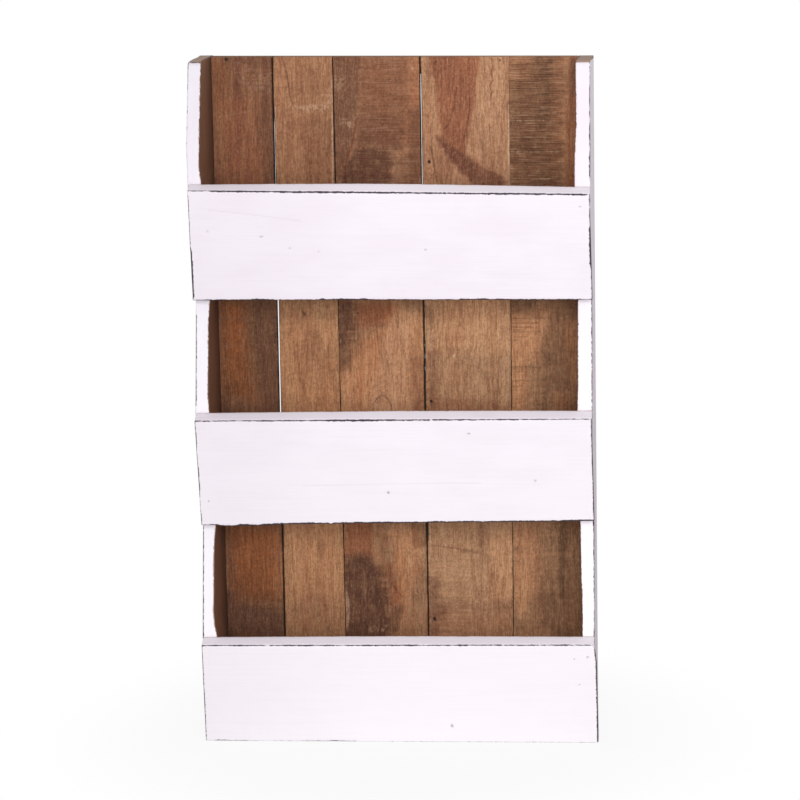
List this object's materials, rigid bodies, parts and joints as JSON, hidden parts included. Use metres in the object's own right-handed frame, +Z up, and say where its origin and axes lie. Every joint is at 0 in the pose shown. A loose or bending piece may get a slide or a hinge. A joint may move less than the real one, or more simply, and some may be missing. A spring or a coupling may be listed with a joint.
{
  "type": "wall newspaper rack",
  "caption": "Rustic wall rack of reclaimed boards: upright back planks between saw-toothed sides, with leaning white front boards that form stacked pockets for newspapers.",
  "frame": {"origin": "middle of the footprint, at the height of the rack's lower end", "axes": "+Z up, +X to the viewer's right, +Y toward the wall, fronts toward -Y"},
  "size_m": [0.4, 0.1208, 0.702],
  "materials": {
    "white_paint": "worn white paint over old wood, dark at the chipped edges",
    "plank_red_brown": "bare reclaimed softwood, reddish brown, matt",
    "plank_light_tan": "bare reclaimed softwood, light tan, matt",
    "plank_brown": "bare reclaimed softwood with dark stains, matt",
    "plank_tan": "bare reclaimed softwood, tan, with iron-stained nail holes, matt",
    "plank_olive_brown": "bare reclaimed softwood with saw marks, olive brown, matt",
    "bare_wood": "bare sawn softwood, matt",
    "nail_steel": "dark oxidised steel",
    "zinc_steel": "zinc plated, satin"
  },
  "bodies": {
    "root": {"side_board_left": "white_paint", "side_board_right": "white_paint", "back_plank_1": "plank_red_brown", "back_plank_2": "plank_light_tan", "back_plank_3": "plank_brown", "back_plank_4": "plank_tan", "back_plank_5": "plank_olive_brown", "top_batten": "bare_wood", "front_board_bottom": "white_paint", "pocket_floor_bottom": "bare_wood", "front_board_middle": "white_paint", "pocket_floor_middle": "bare_wood", "front_board_top": "white_paint", "pocket_floor_top": "bare_wood", "front_nail_bottom_left_upper": "nail_steel", "front_nail_bottom_left_lower": "nail_steel", "front_nail_bottom_right_upper": "nail_steel", "front_nail_bottom_right_lower": "nail_steel", "floor_nail_bottom_front": "nail_steel", "floor_nail_bottom_left": "nail_steel", "floor_nail_bottom_right": "nail_steel", "front_nail_middle_left_upper": "nail_steel", "front_nail_middle_left_lower": "nail_steel", "front_nail_middle_right_upper": "nail_steel", "front_nail_middle_right_lower": "nail_steel", "floor_nail_middle_front": "nail_steel", "floor_nail_middle_left": "nail_steel", "floor_nail_middle_right": "nail_steel", "front_nail_top_left_upper": "nail_steel", "front_nail_top_left_lower": "nail_steel", "front_nail_top_right_upper": "nail_steel", "front_nail_top_right_lower": "nail_steel", "floor_nail_top_front": "nail_steel", "floor_nail_top_left": "nail_steel", "floor_nail_top_right": "nail_steel", "batten_nail_1": "nail_steel", "plank_nail_bottom_1": "nail_steel", "plank_nail_top_1": "nail_steel", "batten_nail_2": "nail_steel", "plank_nail_bottom_2": "nail_steel", "plank_nail_top_2": "nail_steel", "batten_nail_3": "nail_steel", "plank_nail_bottom_3": "nail_steel", "plank_nail_top_3": "nail_steel", "batten_nail_4": "nail_steel", "plank_nail_bottom_4": "nail_steel", "plank_nail_top_4": "nail_steel", "batten_nail_5": "nail_steel", "plank_nail_bottom_5": "nail_steel", "plank_nail_top_5": "nail_steel", "batten_nail_left": "nail_steel", "batten_nail_right": "nail_steel", "hanger_plate_left": "zinc_steel", "hanger_plate_right": "zinc_steel", "hanger_screw_left_outer": "zinc_steel", "hanger_screw_left_inner": "zinc_steel", "hanger_screw_right_outer": "zinc_steel", "hanger_screw_right_inner": "zinc_steel"}
  },
  "joints": []
}
